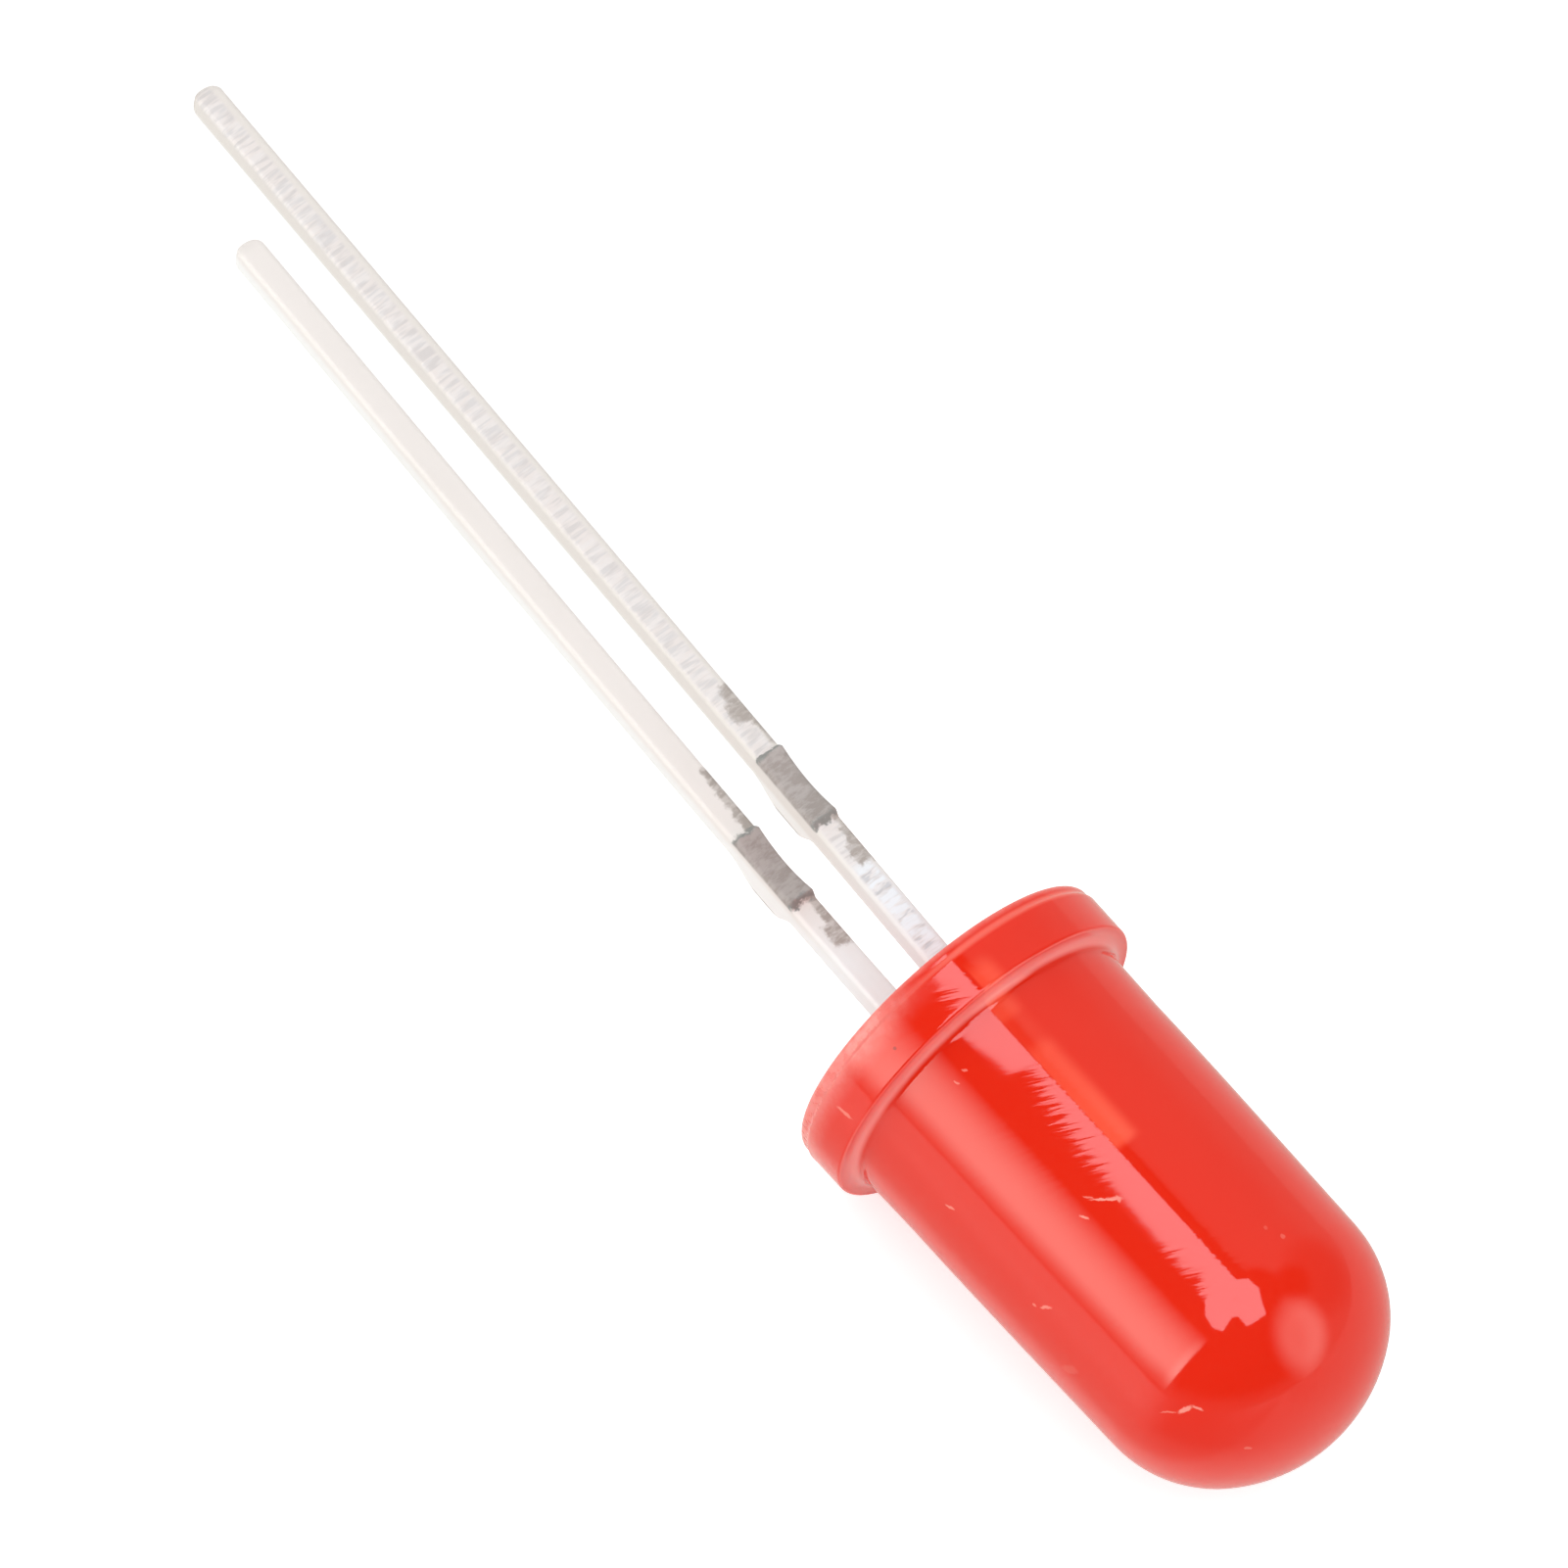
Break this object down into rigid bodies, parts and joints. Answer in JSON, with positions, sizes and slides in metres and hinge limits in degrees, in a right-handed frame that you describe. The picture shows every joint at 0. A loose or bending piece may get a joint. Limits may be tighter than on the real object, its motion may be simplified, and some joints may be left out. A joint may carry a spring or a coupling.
{
  "type": "through-hole led",
  "caption": "Round through-hole LED with a flanged, domed red diffused epoxy head and straight square leads, lying on its flange flat.",
  "frame": {"origin": "centre of the underside of the flange, on the optical axis, between the two leads", "axes": "+X along the optical axis towards the dome, +Z from the cathode to the anode and away from the flange flat"},
  "size_m": [0.0269, 0.0056, 0.0053],
  "materials": {
    "red_epoxy": "translucent red diffused epoxy, glossy as moulded",
    "tinned_steel": "bright tin plating over steel, dark bare steel where the tie bar was cut",
    "die": "semiconductor chip, dark satin",
    "silver_epoxy": "silver-filled epoxy, matt grey",
    "gold": "bright gold wire"
  },
  "bodies": {
    "root": {"lens_body": "red_epoxy", "anode_lead": "tinned_steel", "cathode_lead": "tinned_steel", "led_die": "die", "die_attach": "silver_epoxy", "bond_wire": "gold"}
  },
  "joints": []
}
